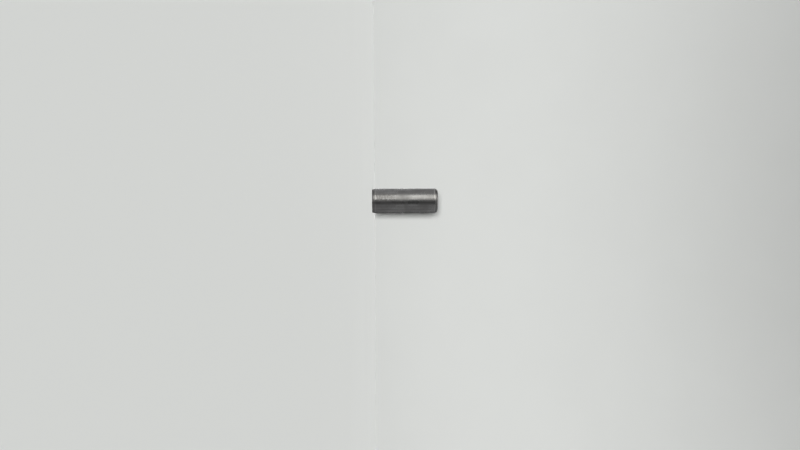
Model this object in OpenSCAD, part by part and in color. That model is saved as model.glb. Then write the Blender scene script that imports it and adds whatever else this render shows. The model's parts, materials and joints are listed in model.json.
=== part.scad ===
// Parallel dowel pin, ground all over and turned from one bar.
// It stands on its foot, the end with the crisp edge, with its axis along +Z.
// The origin is the centre of the foot.

/* [Shank] */
// Diameter of the ground shank
pin_d = 6; // [4:0.5:12]
// Length over both flat ends
pin_l = 16; // [10:1:50]

/* [Foot end] */
// Length of the lead at the foot, measured along the pin
foot_lead_l = 0.65; // [0.4:0.05:1.2]
// Slope of the lead at the foot, in degrees from the shank
foot_lead_a = 15; // [10:1:20]
// Round between the foot's lead and its flat face
foot_edge_r = 0.12; // [0.05:0.01:0.3]

/* [Head end] */
// Length of the lead at the head, measured along the pin
head_lead_l = 0.7; // [0.5:0.05:1.2]
// Slope of the lead at the head, in degrees from the shank
head_lead_a = 15; // [10:1:20]
// Round between the head's lead and its flat face
head_edge_r = 0.36; // [0.1:0.01:0.45]

/* [Blend] */
// Round where each lead runs out into the shank
shoulder_r = 0.5; // [0.2:0.05:1]

/* [Hidden] */
$fn = 96;
shank_r = pin_d / 2;

// An end is drawn as a half section in (radius, height above its flat face).
// The lead's outward direction leans towards the face by the slope a.
function lead_out(a) = [cos(a), -sin(a)];

// Centre of the edge round, which touches the face and the lead
function edge_centre(lead_l, a, r) = [shank_r - (r + (lead_l - r) * sin(a)) / cos(a), r];

// Centre of the shoulder round, which touches the lead and the shank
function shoulder_centre(lead_l, a) = [shank_r - shoulder_r, lead_l + shoulder_r * tan(a / 2)];

// The end's corners, from the axis outwards and up to the shank
function end_points(lead_l, a, r) = [
    [0, 0],
    [edge_centre(lead_l, a, r)[0], 0],
    edge_centre(lead_l, a, r) + r * lead_out(a),
    shoulder_centre(lead_l, a) + shoulder_r * lead_out(a),
    shoulder_centre(lead_l, a) + [shoulder_r, 0],
];

// Half section of one end, from its flat face up the shank to the height h
module end_section(lead_l, a, r, h) {
    polygon(concat(end_points(lead_l, a, r), [[shank_r, h], [0, h]]));
    translate(edge_centre(lead_l, a, r)) circle(r = r);
    translate(shoulder_centre(lead_l, a)) circle(r = shoulder_r);
}

// Half section of the whole pin: the foot below, and the head turned over above it
module half_section() {
    end_section(foot_lead_l, foot_lead_a, foot_edge_r, pin_l / 2);
    translate([0, pin_l]) mirror([0, 1]) end_section(head_lead_l, head_lead_a, head_edge_r, pin_l / 2);
}

module dowel_pin() {
    color("dimgray") rotate_extrude() half_section();
}

dowel_pin();
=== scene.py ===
"""A ground steel dowel pin that stands on its foot, and the plain studio it is seen in."""

import json
import math

import bpy
from mathutils import Matrix, Vector


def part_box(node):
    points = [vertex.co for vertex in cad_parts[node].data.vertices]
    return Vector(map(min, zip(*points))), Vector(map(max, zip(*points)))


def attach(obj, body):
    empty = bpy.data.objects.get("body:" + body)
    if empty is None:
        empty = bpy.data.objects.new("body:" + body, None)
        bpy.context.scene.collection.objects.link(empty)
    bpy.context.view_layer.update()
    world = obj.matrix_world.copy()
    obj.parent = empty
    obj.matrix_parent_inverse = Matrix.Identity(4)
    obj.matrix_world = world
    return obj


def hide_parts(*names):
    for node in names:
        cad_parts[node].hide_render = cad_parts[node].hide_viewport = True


bl_info = {
    "name": "Dowel pin",
    "version": (1, 0, 0),
    "blender": (4, 5, 0),
    "location": "View3D > Sidebar > Dowel pin",
    "description": "Makes a ground dowel pin and its studio",
    "category": "Add Mesh",
}

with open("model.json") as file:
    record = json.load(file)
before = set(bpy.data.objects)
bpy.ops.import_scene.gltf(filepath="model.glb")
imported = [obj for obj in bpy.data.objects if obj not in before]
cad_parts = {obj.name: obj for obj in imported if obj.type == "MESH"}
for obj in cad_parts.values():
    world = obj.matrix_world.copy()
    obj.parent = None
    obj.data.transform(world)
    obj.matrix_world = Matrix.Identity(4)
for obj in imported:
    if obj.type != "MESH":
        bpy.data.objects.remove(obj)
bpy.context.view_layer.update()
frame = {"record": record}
SHANK = next(m for m in frame["record"]["mounts"] if m["name"] == "shank")
MM = 0.001
MICRON = 1e-6

# How far a plain point stands past the end of each arc of the half section
GUARD = 25 * MICRON
# Faces in each rounded edge
ARC_STEPS = 8

# Cells of each pattern in a metre: across the pin in X and Y, and along it
GRINDING = (420, 420, 5600)
CHATTER = (330, 330, 1500)
DRAG = (2500, 2500, 70)
FILM_CLOUDS = (380, 380, 260)
MOTTLE = (1300, 1300, 2700)
GRAIN = (24000, 24000, 24000)
# Cells in a metre from the axis outwards, on the flat faces
TURNING = 12000

# The mottled stretch, from, to and how softly it ends: in degrees round the pin, and along it
MOTTLED_ROUND = (3, 32, 6)
MOTTLED_ALONG = (0.6 * MM, 5.2 * MM, 1.2 * MM)
# How strong the mottling is outside that stretch
MOTTLED_ELSEWHERE = 0.15
# The side on which the shoulder rings are palest, in the same way: partly wear, partly painted glint
# on the side towards the camera and the side strip
RUBBED_AND_LIT_ROUND = (0, 120, 15)
# Fine dark lines along the shank: degrees round the pin, both ends, and strength
FINE_LINES = (
    (15.3, 1.4 * MM, 6.0 * MM, 0.75),
    (-27.5, 1.2 * MM, 13.5 * MM, 0.35),
    (-45, 1.6 * MM, 14.4 * MM, 0.7),
)

# How far each mark takes the steel to the film's colour, from 0 to 1
CLOUDS_DARKEN = 0.5
PITS_DARKEN = 0.9
STRETCH_DARKENS = 0.2
DRAG_DARKENS = 0.42
GRINDING_DARKENS = 0.14
# Painted dark reflection: the leads are darkened where they mirror darker surroundings
LEADS_PAINTED_SHADE = 0.45
# How far the shoulder rings take it to the pale ring colour, partly for wear and partly as painted
# glint
RINGS_WEAR_AND_GLINT = 0.8

# Parts of the room that the steel mirrors, from, to and how softly each ends,
# in degrees from the camera's side towards its left
RIGHT_SIDE = (-130, 2, 8)
BLOCKED_FRONT = (-32, 4.5, 6)
BACK_RIGHT = (-200, -130, 8)
PAST_THE_STRIP = (68, 94, 8)
# Where the left of the room starts, in degrees
LEFT_STARTS = (60, 80)
# Where the room's high and low parts start, as the sine of their height
STEEP_STARTS = (0.2, 0.5)


class PinSizes(bpy.types.PropertyGroup):
    """Sizes of the turned blank"""

    shank_radius: bpy.props.FloatProperty(
        name="Shank radius", description="Radius of the ground shank",
        default=SHANK["dims"]["r_mm"] * MM, min=MM, unit="LENGTH", precision=5)
    length: bpy.props.FloatProperty(
        name="Length", description="Length over both flat ends",
        default=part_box("dowel_pin")[1].z, min=MM, unit="LENGTH", precision=5)
    foot_lead: bpy.props.FloatProperty(
        name="Foot lead", description="Length of the lead at the foot",
        default=0.65 * MM, min=0.0, unit="LENGTH", precision=5)
    foot_edge: bpy.props.FloatProperty(
        name="Foot edge", description="Round between the foot's lead and its face",
        default=0.12 * MM, min=0.0, unit="LENGTH", precision=5)
    head_lead: bpy.props.FloatProperty(
        name="Head lead", description="Length of the lead at the head",
        default=0.7 * MM, min=0.0, unit="LENGTH", precision=5)
    head_edge: bpy.props.FloatProperty(
        name="Head edge", description="Round between the head's lead and its face",
        default=0.36 * MM, min=0.0, unit="LENGTH", precision=5)
    lead_slope: bpy.props.FloatProperty(
        name="Lead slope", description="Slope of both leads, from the shank",
        default=math.radians(15), min=0.0, subtype="ANGLE")
    shoulder: bpy.props.FloatProperty(
        name="Shoulder round", description="Round where each lead runs out into the shank",
        default=0.5 * MM, min=0.0, unit="LENGTH", precision=5)
    steps: bpy.props.IntProperty(
        name="Steps round", description="Number of faces round the pin", default=192, min=24)


class PinFinish(bpy.types.PropertyGroup):
    """Colours and surface of the steel"""

    steel: bpy.props.FloatVectorProperty(
        name="Steel", description="Colour of the ground steel",
        default=(0.207, 0.207, 0.207), subtype="COLOR", min=0.0, max=1.0)
    film: bpy.props.FloatVectorProperty(
        name="Film", description="Colour where a thin dark film dulls the steel",
        default=(0.112, 0.110, 0.109), subtype="COLOR", min=0.0, max=1.0)
    # Colour of the shoulder rings: partly wear, partly painted glint
    worn: bpy.props.FloatVectorProperty(
        name="Worn", description="Colour where edges are rubbed bright",
        default=(0.34, 0.337, 0.333), subtype="COLOR", min=0.0, max=1.0)
    roughness: bpy.props.FloatProperty(
        name="Roughness", description="Roughness of the clean ground shank",
        default=0.235, min=0.0, max=1.0, subtype="FACTOR")
    grind_depth: bpy.props.FloatProperty(
        name="Grind depth", description="Depth of the fine marks left by grinding",
        default=0.35 * MICRON, min=0.0, unit="LENGTH", precision=6)
    pit_depth: bpy.props.FloatProperty(
        name="Pit depth", description="Depth of the shallow unevenness towards the foot",
        default=2.5 * MICRON, min=0.0, unit="LENGTH", precision=6)


class StageLook(bpy.types.PropertyGroup):
    """The paper floor and wall, the light and the camera"""

    paper: bpy.props.FloatVectorProperty(
        name="Paper", description="Colour of the floor and the wall behind",
        default=(0.70, 0.714, 0.695), subtype="COLOR", min=0.0, max=1.0)
    wall_gap: bpy.props.FloatProperty(
        name="Wall gap", description="Distance of the wall behind the pin's axis",
        default=100 * MM, min=5 * MM, unit="LENGTH", precision=4)
    wall_bend: bpy.props.FloatProperty(
        name="Wall bend", description="Radius in which the wall bends round the pin",
        default=175 * MM, min=50 * MM, unit="LENGTH", precision=4)
    wall_left: bpy.props.FloatProperty(
        name="Wall left", description="How far the wall bends round on the left of the pin",
        default=math.radians(110), subtype="ANGLE")
    wall_right: bpy.props.FloatProperty(
        name="Wall right", description="How far the wall bends round on the right of the pin",
        default=math.radians(45), subtype="ANGLE")
    front_gap: bpy.props.FloatProperty(
        name="Front gap", description="Distance of the front lamp before the pin's axis",
        default=170 * MM, min=50 * MM, unit="LENGTH", precision=4)
    room: bpy.props.FloatProperty(
        name="Room light", description="Level of the light from all round", default=0.12, min=0.0)
    backdrop: bpy.props.FloatProperty(
        name="Backdrop", description="Level of the pale room as the steel mirrors it",
        default=0.72, min=0.0)
    spill: bpy.props.FloatProperty(
        name="Spill", description="How much paler the room is just past the side strip",
        default=0.2, min=0.0)
    dim_side: bpy.props.FloatProperty(
        name="Dim side", description="How much dimmer the room is to the right of the camera",
        default=0.2, min=0.0, max=1.0, subtype="FACTOR")
    dark_front: bpy.props.FloatProperty(
        name="Dark front", description="How much of the room the camera blocks in front",
        default=0.76, min=0.0, max=1.0, subtype="FACTOR")
    dim_steep: bpy.props.FloatProperty(
        name="Dim above", description="How much dimmer the left of the room is high up and low down",
        default=0.75, min=0.0, max=1.0, subtype="FACTOR")
    beyond: bpy.props.FloatProperty(
        name="Beyond the paper", description="Level of the room as the camera sees it",
        default=0.68, min=0.0)
    dark_back: bpy.props.FloatProperty(
        name="Dark back", description="How much darker the room is behind the pin on the right",
        default=0.75, min=0.0, max=1.0, subtype="FACTOR")
    camera_distance: bpy.props.FloatProperty(
        name="Camera distance", description="Distance of the camera from the pin's axis",
        default=148 * MM, min=50 * MM, unit="LENGTH", precision=4)
    camera_height: bpy.props.FloatProperty(
        name="Camera height", description="Height of the camera over the foot",
        default=1.5 * MM, unit="LENGTH", precision=5)
    lens: bpy.props.FloatProperty(
        name="Lens", description="Focal length, for a frame 36 mm wide", default=27.0, min=10.0)


class Wire:
    """An output socket whose arithmetic adds Math nodes to its tree"""

    def __init__(self, graph, socket):
        self.graph = graph
        self.socket = socket

    def __add__(self, other):
        return self.graph.math("ADD", self, other)

    def __radd__(self, other):
        return self.graph.math("ADD", other, self)

    def __sub__(self, other):
        return self.graph.math("SUBTRACT", self, other)

    def __rsub__(self, other):
        return self.graph.math("SUBTRACT", other, self)

    def __mul__(self, other):
        return self.graph.math("MULTIPLY", self, other)

    def __rmul__(self, other):
        return self.graph.math("MULTIPLY", other, self)

    def __truediv__(self, other):
        return self.graph.math("DIVIDE", self, other)

    def __rtruediv__(self, other):
        return self.graph.math("DIVIDE", other, self)


class Graph:
    """Adds nodes to one shader or geometry tree"""

    def __init__(self, tree):
        self.tree = tree

    def add(self, kind, settings=None, sockets=None, output=0):
        """Adds a node, makes its settings first, then fills its sockets, and returns an output"""
        node = self.tree.nodes.new(kind)
        for name, value in (settings or {}).items():
            setattr(node, name, value)
        for name, value in (sockets or {}).items():
            self.fill(node.inputs[name], value)
        return Wire(self, node.outputs[output]) if node.outputs else None

    def fill(self, socket, value):
        """Links a wire to a socket, or sets a plain value on it"""
        if isinstance(value, Wire):
            self.tree.links.new(value.socket, socket)
        else:
            socket.default_value = value

    def math(self, operation, *values):
        """A Math node"""
        return self.add("ShaderNodeMath", {"operation": operation}, dict(enumerate(values)))

    def vector(self, x, y, z):
        """Three numbers as one vector"""
        return self.add("ShaderNodeCombineXYZ", None, {"X": x, "Y": y, "Z": z})

    def scale(self, vector, factors):
        """Multiplies each part of a vector by its own factor"""
        return self.add("ShaderNodeVectorMath", {"operation": "MULTIPLY"}, {0: vector, 1: factors})

    def step(self, value, low, high):
        """Rises smoothly from 0 at low to 1 at high"""
        return self.add(
            "ShaderNodeMapRange", {"interpolation_type": "SMOOTHSTEP"},
            {"Value": value, "From Min": low, "From Max": high})

    def band(self, value, low, high, soft):
        """1 between low and high, and 0 past them by more than soft"""
        rise = self.step(value, low - soft, low + soft)
        return rise * (1 - self.step(value, high - soft, high + soft))

    def sector(self, turn, low, high, soft):
        """A band of a turn in radians, with its limits in degrees"""
        return self.band(turn, math.radians(low), math.radians(high), math.radians(soft))

    def noise(self, vector, detail=2.0, roughness=0.5):
        """Noise from about 0.2 to 0.8, one cell to each unit of the vector"""
        return self.add(
            "ShaderNodeTexNoise", {"noise_dimensions": "3D"},
            {"Vector": vector, "Scale": 1.0, "Detail": detail, "Roughness": roughness})

    def blend(self, factor, first, second):
        """Mixes two colours"""
        return self.add(
            "ShaderNodeMix", {"data_type": "RGBA"}, {0: factor, 6: first, 7: second}, output=2)


def rgba(colour):
    """A colour with full alpha, as a socket takes it"""
    return (*colour, 1.0)


def new_shader(name):
    """An empty material, its graph and the input of its surface"""
    material = bpy.data.materials.new(name)
    material.use_nodes = True
    material.node_tree.nodes.clear()
    output = material.node_tree.nodes.new("ShaderNodeOutputMaterial")
    return material, Graph(material.node_tree), output.inputs["Surface"]


def rubbed_rings(g, z, turn, foot_shoulder, head_shoulder):
    """Narrow pale rings at both shoulders, palest towards the camera and the side strip: partly wear,
    partly painted glint
    """
    inside, outside, soft = 160 * MICRON, 20 * MICRON, 70 * MICRON
    foot_strength, least = 0.75, 0.4
    foot_ring = g.band(z, foot_shoulder - outside, foot_shoulder + inside, soft)
    head_ring = g.band(z, head_shoulder - inside, head_shoulder + outside, soft)
    side = g.sector(turn, *RUBBED_AND_LIT_ROUND)
    return (foot_ring * foot_strength + head_ring) * (least + (1 - least) * side)


def fine_lines(g, z, turn):
    """Fine dark lines along the shank"""
    half_width, soft, fade = 2, 1.5, 0.8 * MM
    lines = []
    for place, low, high, strength in FINE_LINES:
        across = g.sector(turn, place - half_width, place + half_width, soft)
        lines.append(across * g.band(z, low, high, fade) * strength)
    return sum(lines)


def steel_material(sizes, finish):
    """Dark ground steel: fine marks round the shank, dull patches, leads darkened as painted dark
    reflection, and shoulder rings made pale partly for wear and partly as painted glint
    """
    material, g, surface = new_shader("dark_ground_steel")
    spot = g.add("ShaderNodeTexCoord", output="Object")
    xyz = g.add("ShaderNodeSeparateXYZ", None, {0: spot})
    x, y, z = (Wire(g, s) for s in xyz.socket.node.outputs)
    radius = g.math("SQRT", x * x + y * y)
    turn = g.math("ARCTAN2", x * -1, y * -1)

    head_start = sizes.length - sizes.head_lead
    middle = sizes.length / 2
    soft = 40 * MICRON
    face = g.step(g.math("ABSOLUTE", z - middle), middle - soft, middle - soft / 4)
    lead = 1 - g.band(z, sizes.foot_lead, head_start, soft)
    # Shoulder rings: partly wear, partly painted glint on the lit side
    ring_wear_and_glint = rubbed_rings(g, z, turn, sizes.foot_lead, head_start)

    fine = g.noise(g.scale(spot, GRINDING), detail=3.0)
    chatter = g.noise(g.scale(spot, CHATTER), detail=2.0)
    drag = g.noise(g.scale(spot, DRAG), detail=3.0)
    cloud = g.noise(g.scale(spot, FILM_CLOUDS), detail=3.0)
    mottle = g.noise(g.scale(spot, MOTTLE), detail=5.0, roughness=0.65)
    grain = g.noise(g.scale(spot, GRAIN), detail=1.0)
    turned = g.noise(g.vector(radius * TURNING, 0.0, 0.0), detail=2.0)

    stretch = g.sector(turn, *MOTTLED_ROUND) * g.band(z, *MOTTLED_ALONG)
    spread = MOTTLED_ELSEWHERE + (1 - MOTTLED_ELSEWHERE) * stretch
    pitted = g.step(mottle, 0.39, 0.59) * spread
    filmed = g.step(cloud, 0.42, 0.66)
    head_half = g.step(z, middle - 1 * MM, middle + 1.5 * MM)
    uneven = g.step(chatter, 0.3, 0.7) * (1 - 0.6 * head_half)

    dull = filmed * CLOUDS_DARKEN + pitted * PITS_DARKEN + stretch * STRETCH_DARKENS
    covers = (
        g.math("MINIMUM", dull, 1.0),
        g.step(drag, 0.42, 0.6) * DRAG_DARKENS,
        g.step(fine, 0.4, 0.65) * GRINDING_DARKENS,
        fine_lines(g, z, turn) * g.step(chatter, 0.2, 0.45),
        # Painted dark reflection on the leads
        lead * LEADS_PAINTED_SHADE)
    colour = rgba(finish.steel)
    for cover in covers:
        colour = g.blend(cover, colour, rgba(finish.film))
    # Painted glint, partly wear: the shoulder rings are made paler, most towards the camera and the
    # side strip
    rings = ring_wear_and_glint * g.step(chatter, 0.2, 0.5) * RINGS_WEAR_AND_GLINT
    colour = g.blend(rings, colour, rgba(finish.worn))

    # What each mark adds to the roughness
    roughness = (finish.roughness + 0.10 * filmed + 0.07 * uneven + 0.05 * (drag - 0.5)
                 + 0.10 * (fine - 0.5) + 0.10 * lead - 0.06 * ring_wear_and_glint)
    # Height of each mark, in grind depths
    marks = (fine * (1 - face) * 1.5 + turned * face * 1.5 + drag * 0.35 + grain * 0.12
             + uneven * 0.5 + pitted * (finish.pit_depth / finish.grind_depth))
    bump = g.add("ShaderNodeBump", None, {
        "Strength": 1.0, "Distance": finish.grind_depth, "Height": marks})
    shader = g.add("ShaderNodeBsdfPrincipled", None, {
        "Base Color": colour, "Metallic": 1.0, "Roughness": roughness, "Normal": bump})
    g.fill(surface, shader)
    return material


def end_corners(g, lead, slope, edge, shoulder, shank, guard):
    """An end's corners from the axis to the shank, as (radius, height, round) in three lists.
    Each round has a plain point beside it, a little past its arc, so that flats stay flat."""
    face = shank - lead * g.math("TANGENT", slope)
    rise, run = g.math("COSINE", slope), g.math("SINE", slope)
    half_right_angle = math.pi / 4
    edge_reach = edge * g.math("TANGENT", half_right_angle - slope / 2) + guard
    shoulder_reach = shoulder * g.math("TANGENT", slope / 2) + guard
    radii = [
        0.0, face - edge_reach, face, face + edge_reach * run,
        shank - shoulder_reach * run, shank, shank]
    heights = [
        0.0, 0.0, 0.0, edge_reach * rise,
        lead - shoulder_reach * rise, lead, lead + shoulder_reach]
    rounds = [0.0, 0.0, edge, 0.0, 0.0, shoulder, 0.0]
    return radii, heights, rounds


def choose(g, kind, values):
    """An Index Switch that gives each point of a line its own value"""
    node = g.tree.nodes.new("GeometryNodeIndexSwitch")
    node.data_type = kind
    while len(node.index_switch_items) < len(values):
        node.index_switch_items.new()
    g.fill(node.inputs["Index"], g.add("GeometryNodeInputIndex"))
    for place, value in enumerate(values):
        g.fill(node.inputs[str(place)], value)
    return Wire(g, node.outputs[0])


def turning_tree():
    """Geometry Nodes that draw the pin's half section, round its corners and revolve it"""
    tree = bpy.data.node_groups.new("turned_pin", "GeometryNodeTree")
    lengths = ("Shank Radius", "Length", "Foot Lead", "Foot Edge", "Head Lead", "Head Edge",
               "Shoulder", "Guard")
    for name in lengths:
        tree.interface.new_socket(name, in_out="INPUT", socket_type="NodeSocketFloat")
    tree.interface.new_socket("Lead Slope", in_out="INPUT", socket_type="NodeSocketFloat")
    tree.interface.new_socket("Steps Round", in_out="INPUT", socket_type="NodeSocketInt")
    tree.interface.new_socket("Steps in an Arc", in_out="INPUT", socket_type="NodeSocketInt")
    tree.interface.new_socket("Steel", in_out="INPUT", socket_type="NodeSocketMaterial")
    tree.interface.new_socket("Geometry", in_out="OUTPUT", socket_type="NodeSocketGeometry")
    g = Graph(tree)
    given = tree.nodes.new("NodeGroupInput")
    size = {s.name: Wire(g, s) for s in given.outputs if s.name}

    shank, length = size["Shank Radius"], size["Length"]
    foot = end_corners(g, size["Foot Lead"], size["Lead Slope"], size["Foot Edge"],
                       size["Shoulder"], shank, size["Guard"])
    head = end_corners(g, size["Head Lead"], size["Lead Slope"], size["Head Edge"],
                       size["Shoulder"], shank, size["Guard"])
    radii = foot[0] + head[0][::-1]
    heights = foot[1] + [length - h for h in head[1][::-1]]
    rounds = foot[2] + head[2][::-1]
    corners = [g.vector(r, 0.0, h) for r, h in zip(radii, heights)]

    points = g.add("GeometryNodePoints", None, {
        "Count": len(corners), "Position": choose(g, "VECTOR", corners)})
    outline = g.add("GeometryNodePointsToCurves", None, {
        "Points": points, "Weight": g.add("GeometryNodeInputIndex")})
    section = g.add("GeometryNodeFilletCurve", {"mode": "POLY"}, {
        "Curve": outline, "Count": size["Steps in an Arc"], "Limit Radius": True,
        "Radius": choose(g, "FLOAT", rounds)})

    count = g.add("GeometryNodeAttributeDomainSize", {"component": "CURVE"}, {
        "Geometry": section}, output="Point Count")
    columns = size["Steps Round"] + 1
    sheet = g.add("GeometryNodeMeshGrid", None, {"Vertices X": count, "Vertices Y": columns})
    index = g.add("GeometryNodeInputIndex")
    along = g.math("FLOOR", (index + 0.5) / columns)
    turn = (index - along * columns) / size["Steps Round"] * math.tau
    position = g.add("GeometryNodeInputPosition")
    sampled = g.add(
        "GeometryNodeSampleIndex", {"data_type": "FLOAT_VECTOR", "domain": "POINT"},
        {"Geometry": section, "Value": position, "Index": along})
    part = g.add("ShaderNodeSeparateXYZ", None, {0: sampled}).socket.node.outputs
    out, up = Wire(g, part["X"]), Wire(g, part["Z"])
    revolved = g.add("GeometryNodeSetPosition", None, {
        "Geometry": sheet,
        "Position": g.vector(out * g.math("COSINE", turn), out * g.math("SINE", turn), up)})
    closed = g.add("GeometryNodeMergeByDistance", None, {
        "Geometry": revolved, "Distance": MICRON})
    smooth = g.add("GeometryNodeSetShadeSmooth", None, {"Geometry": closed, "Shade Smooth": True})
    real = g.add("GeometryNodeRealizeInstances", None, {"Geometry": smooth})
    steel = g.add("GeometryNodeSetMaterial", None, {"Geometry": real, "Material": size["Steel"]})
    result = tree.nodes.new("NodeGroupOutput")
    g.fill(result.inputs[0], steel)
    return tree


def evaluated_mesh(name, tree, values):
    """Runs a geometry tree with its named inputs and returns a plain mesh object"""
    carrier = bpy.data.objects.new(name, bpy.data.meshes.new(name))
    bpy.context.scene.collection.objects.link(carrier)
    modifier = carrier.modifiers.new("turning", "NODES")
    modifier.node_group = tree
    for item in tree.interface.items_tree:
        if item.item_type == "SOCKET" and item.in_out == "INPUT":
            modifier[item.identifier] = values[item.name]
    bpy.context.view_layer.update()
    evaluated = carrier.evaluated_get(bpy.context.evaluated_depsgraph_get())
    mesh = bpy.data.meshes.new_from_object(evaluated)
    carrier.modifiers.remove(modifier)
    carrier.data = mesh
    return carrier


class DOWEL_OT_make_pin(bpy.types.Operator):
    """Turns the pin from its half section and gives it its ground finish"""

    bl_idname = "dowel.make_pin"
    bl_label = "Make the pin"

    def execute(self, context):
        sizes, finish = context.scene.pin_sizes, context.scene.pin_finish
        pin = evaluated_mesh("ground_pin", turning_tree(), {
            "Shank Radius": sizes.shank_radius, "Length": sizes.length,
            "Foot Lead": sizes.foot_lead, "Foot Edge": sizes.foot_edge,
            "Head Lead": sizes.head_lead, "Head Edge": sizes.head_edge,
            "Shoulder": sizes.shoulder, "Guard": GUARD,
            "Lead Slope": sizes.lead_slope, "Steps Round": sizes.steps,
            "Steps in an Arc": ARC_STEPS, "Steel": steel_material(sizes, finish)})
        if not pin.data.polygons:
            raise RuntimeError("the turning tree made no faces")
        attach(pin, "root")
        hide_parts("dowel_pin")
        return {"FINISHED"}


def paper_material(look):
    """Plain pale paper with the faintest unevenness"""
    material, g, surface = new_shader("pale_paper")
    cells_to_a_metre, shade = (40, 40, 40), 0.96
    spot = g.add("ShaderNodeTexCoord", output="Object")
    cloud = g.noise(g.scale(spot, cells_to_a_metre))
    pale = rgba(look.paper)
    dim = rgba([c * shade for c in look.paper])
    shader = g.add("ShaderNodeBsdfPrincipled", None, {
        "Base Color": g.blend(cloud, dim, pale), "Roughness": 0.7, "Specular IOR Level": 0.2})
    g.fill(surface, shader)
    return material


def add_paper(name, corners, faces, material, smooth=False):
    """A sheet of the stage, which the steel doesn't mirror"""
    mesh = bpy.data.meshes.new(name)
    mesh.from_pydata(corners, [], faces)
    mesh.materials.append(material)
    mesh.polygons.foreach_set("use_smooth", [smooth] * len(faces))
    sheet = bpy.data.objects.new(name, mesh)
    sheet.visible_glossy = False
    sheet.visible_diffuse = False
    sheet.visible_shadow = False
    bpy.context.scene.collection.objects.link(sheet)
    return sheet


def make_paper(look):
    """A floor of pale paper, and a wall that bends round behind the pin. Returns the wall."""
    reach, steps = 0.5, 62
    material = paper_material(look)
    sides = ((-1, -1), (1, -1), (1, 1), (-1, 1))
    corners = [Vector((x * reach, y * reach, 0)) for x, y in sides]
    add_paper("floor", corners, [(0, 1, 2, 3)], material)
    behind = Vector((0, look.wall_gap, 0))
    foot = []
    for step in range(steps + 1):
        a = (look.wall_left + look.wall_right) * step / steps - look.wall_left
        foot.append(behind + Vector((math.sin(a), math.cos(a) - 1, 0)) * look.wall_bend)
    top = [corner + Vector((0, 0, reach)) for corner in foot]
    faces = [(i, i + steps + 1, i + steps + 2, i + 1) for i in range(steps)]
    return add_paper("wall", foot + top, faces, material, smooth=True)


def make_lamp(name, place, width, height, radiance, aim=(0, 0, 0), colour=(1.0, 1.0, 1.0),
              mirrored=True, lights_paper=True, only=None):
    """A flat soft lamp that faces a point, as bright as a surface of that radiance.
    It may light only one object."""
    # Watts to a square metre that give a flat lamp a radiance of 1
    watts_for_radiance = 4
    data = bpy.data.lights.new(name, "AREA")
    data.shape = "RECTANGLE"
    data.size, data.size_y = width, height
    data.energy = radiance * width * height * watts_for_radiance
    data.color = colour
    lamp = bpy.data.objects.new(name, data)
    lamp.location = place
    lamp.rotation_euler = (Vector(aim) - place).to_track_quat("-Z", "Y").to_euler()
    lamp.visible_camera = False
    lamp.visible_glossy = mirrored
    lamp.visible_diffuse = lights_paper
    if only:
        lit = bpy.data.collections.new(name + "_lights")
        lit.objects.link(only)
        lamp.light_linking.receiver_collection = lit
    bpy.context.scene.collection.objects.link(lamp)


def beside(turn, distance, height):
    """A place at that distance, turned from the camera's side towards its left, by degrees"""
    a = math.radians(turn)
    return Vector((-math.sin(a) * distance, -math.cos(a) * distance, height))


def make_world(look):
    """Even room light, and a pale room for the camera. What the steel mirrors of that room is dark
    in front, where the camera blocks it, behind on the right, and high up and low down on the left.
    It is a little dimmer all along the right, and a little paler just past the side strip."""
    world = bpy.data.worlds.new("studio")
    world.use_nodes = True
    world.node_tree.nodes.clear()
    g = Graph(world.node_tree)
    rays = g.add("ShaderNodeLightPath").socket.node.outputs
    seen = Wire(g, rays["Is Camera Ray"])
    mirrored = g.math("MAXIMUM", Wire(g, rays["Is Glossy Ray"]), Wire(g, rays["Is Transmission Ray"]))
    way = g.add("ShaderNodeTexCoord", output="Generated")
    ways = g.add("ShaderNodeSeparateXYZ", None, {0: way}).socket.node.outputs
    turn = g.math("ARCTAN2", Wire(g, ways["X"]) * -1, Wire(g, ways["Y"]) * -1)
    steep = g.step(g.math("ABSOLUTE", Wire(g, ways["Z"])), *STEEP_STARTS)
    left = g.step(turn, *(math.radians(a) for a in LEFT_STARTS))
    mirrored_room = (
        look.backdrop * (1 + look.spill * g.sector(turn, *PAST_THE_STRIP))
        * (1 - look.dim_side * g.sector(turn, *RIGHT_SIDE))
        * (1 - look.dark_front * g.sector(turn, *BLOCKED_FRONT))
        * (1 - look.dark_back * g.sector(turn, *BACK_RIGHT))
        * (1 - look.dim_steep * steep * left))
    level = look.room + (look.beyond - look.room) * seen + (mirrored_room - look.room) * mirrored
    light = g.add("ShaderNodeBackground", None, {"Color": (1, 1, 1, 1), "Strength": level})
    output = world.node_tree.nodes.new("ShaderNodeOutputWorld")
    g.fill(output.inputs["Surface"], light)
    bpy.context.scene.world = world


def make_camera(look, sizes):
    """A camera beside the pin, rolled so that the pin lies level with its foot to the left"""
    frame_width, frame_height = 800, 450
    pin_column, pin_row, roll = 404.85, 200.87, math.radians(0.3)
    data = bpy.data.cameras.new("camera")
    data.sensor_width, data.lens = 36.0, look.lens
    data.clip_start, data.clip_end = MM, 10.0
    focal = look.lens / data.sensor_width * frame_width
    camera = bpy.data.objects.new("camera", data)
    rise = sizes.length / 2 - look.camera_height
    across = math.atan2(rise, look.camera_distance) - math.atan2(pin_column - frame_width / 2, focal)
    down = math.atan2(frame_height / 2 - pin_row, focal)
    rolled = Matrix(((0, -1, 0), (0, 0, -1), (1, 0, 0)))
    aim = rolled @ Matrix.Rotation(-across, 3, "Y") @ Matrix.Rotation(-down, 3, "X")
    aim = aim @ Matrix.Rotation(-roll, 3, "Z")
    camera.rotation_mode = "QUATERNION"
    camera.location = (0, -look.camera_distance, look.camera_height)
    camera.rotation_quaternion = aim.to_quaternion()
    bpy.context.scene.collection.objects.link(camera)
    bpy.context.scene.camera = camera


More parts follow.
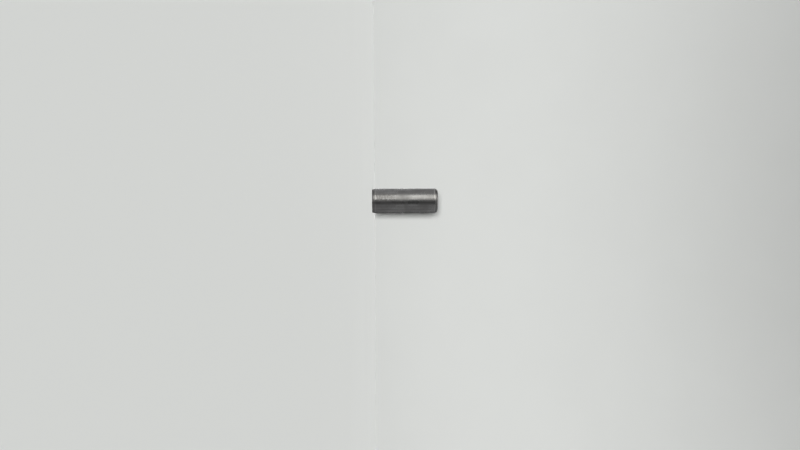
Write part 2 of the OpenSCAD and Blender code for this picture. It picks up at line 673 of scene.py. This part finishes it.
class DOWEL_OT_make_stage(bpy.types.Operator):
    """Lays the floor, bends the wall round the pin, hangs the lamps and sets the camera"""

    bl_idname = "dowel.make_stage"
    bl_label = "Make the stage"

    def execute(self, context):
        scene = context.scene
        look = scene.stage_look
        wall = make_paper(look)
        make_world(look)
        make_lamp("side_strip", beside(35.9, 0.5, 0.04), width=0.37, height=0.85, radiance=1.74,
                  colour=(1.0, 0.985, 0.92), lights_paper=False)
        make_lamp("top_panel", Vector((0, -0.05, 0.45)), width=0.5, height=0.5, radiance=1.2,
                  lights_paper=False)
        make_lamp("front_lamp", beside(0.95, look.front_gap, 0), width=0.0049, height=0.0084,
                  radiance=4450.0, aim=(0, 0.83, 0.7265), mirrored=False, only=wall)
        make_lamp("overhead_lamp", Vector((0.1, 0.5, 1.9)), width=0.55, height=0.55,
                  radiance=29.0, mirrored=False)
        make_camera(look, scene.pin_sizes)
        scene.view_settings.view_transform = "Standard"
        return {"FINISHED"}


class DOWEL_PT_panel(bpy.types.Panel):
    """Sizes, finish and stage of the pin"""

    bl_idname = "DOWEL_PT_panel"
    bl_label = "Dowel pin"
    bl_space_type = "VIEW_3D"
    bl_region_type = "UI"
    bl_category = "Dowel pin"

    def draw(self, context):
        scene = context.scene
        for group in (scene.pin_sizes, scene.pin_finish, scene.stage_look):
            column = self.layout.column()
            for name in group.__annotations__:
                column.prop(group, name)
        self.layout.operator(DOWEL_OT_make_pin.bl_idname)
        self.layout.operator(DOWEL_OT_make_stage.bl_idname)


CLASSES = (PinSizes, PinFinish, StageLook, DOWEL_OT_make_pin, DOWEL_OT_make_stage, DOWEL_PT_panel)


def register():
    """Makes the groups, the operators and the panel known to Blender"""
    for c in CLASSES:
        bpy.utils.register_class(c)
    bpy.types.Scene.pin_sizes = bpy.props.PointerProperty(type=PinSizes)
    bpy.types.Scene.pin_finish = bpy.props.PointerProperty(type=PinFinish)
    bpy.types.Scene.stage_look = bpy.props.PointerProperty(type=StageLook)


def unregister():
    """Takes back what register made"""
    del bpy.types.Scene.stage_look
    del bpy.types.Scene.pin_finish
    del bpy.types.Scene.pin_sizes
    for c in reversed(CLASSES):
        bpy.utils.unregister_class(c)


def main():
    """Makes the pin and its stage"""
    register()
    bpy.ops.dowel.make_pin()
    bpy.ops.dowel.make_stage()


if __name__ == "__main__":
    main()
